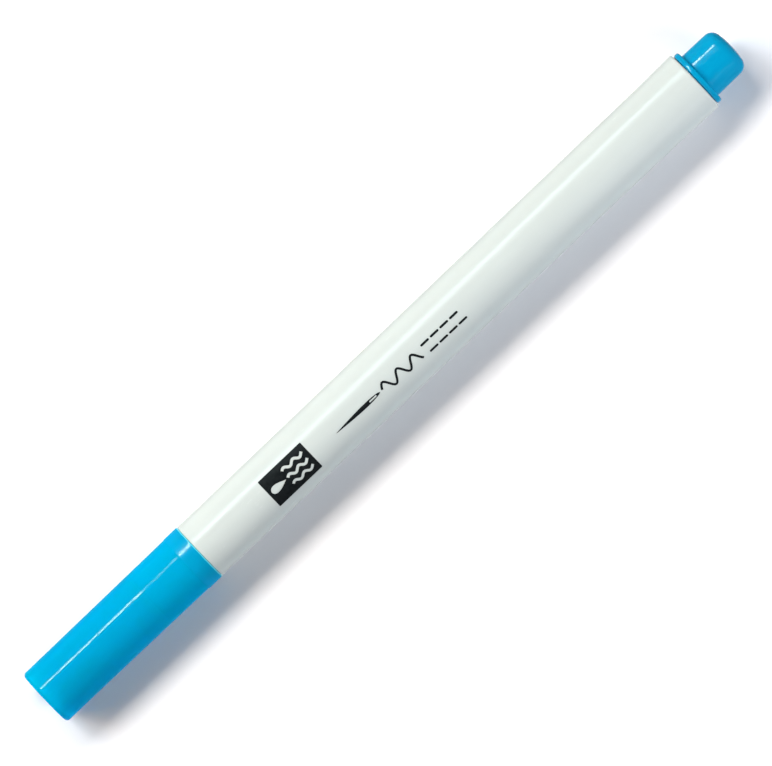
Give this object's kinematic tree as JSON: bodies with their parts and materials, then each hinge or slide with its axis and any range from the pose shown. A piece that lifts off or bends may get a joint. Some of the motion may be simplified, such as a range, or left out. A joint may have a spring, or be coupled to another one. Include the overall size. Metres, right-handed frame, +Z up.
{
  "type": "fabric marking pen",
  "caption": "Slim round fabric marking pen lying on its side, with a translucent blue pull-off cap over a fibre nib, a glossy white barrel and a blue end plug.",
  "frame": {"origin": "under the middle of the pen's length, on the surface it lies on", "axes": "+X along the pen from its capped end to its end plug, +Z up, +Y across the pen"},
  "size_m": [0.14, 0.0104, 0.0104],
  "materials": {
    "cap_plastic": "translucent cyan-blue polypropylene, glossy",
    "liner_plastic": "natural milky polyethylene, satin",
    "barrel_plastic": "white polypropylene with a faint cool tint, glossy, printed in black",
    "nose_plastic": "white polypropylene, satin gloss",
    "nib_fibre": "bonded fibre soaked with blue ink",
    "reservoir_fibre": "polyester fibre bundle soaked with blue ink",
    "wrap_film": "clear thin film",
    "plug_plastic": "cyan-blue polypropylene, satin gloss"
  },
  "bodies": {
    "pen": {"barrel": "barrel_plastic", "nose_section": "nose_plastic", "nib": "nib_fibre", "reservoir_core": "reservoir_fibre", "reservoir_wrap": "wrap_film", "end_plug": "plug_plastic"},
    "cap": {"cap_shell": "cap_plastic", "inner_cap": "liner_plastic"}
  },
  "joints": [
    {"name": "cap_pull", "type": "slide", "parent": "pen", "child": "cap", "axis": [-1, 0, 0], "range_m": [0, 0.04]}
  ]
}
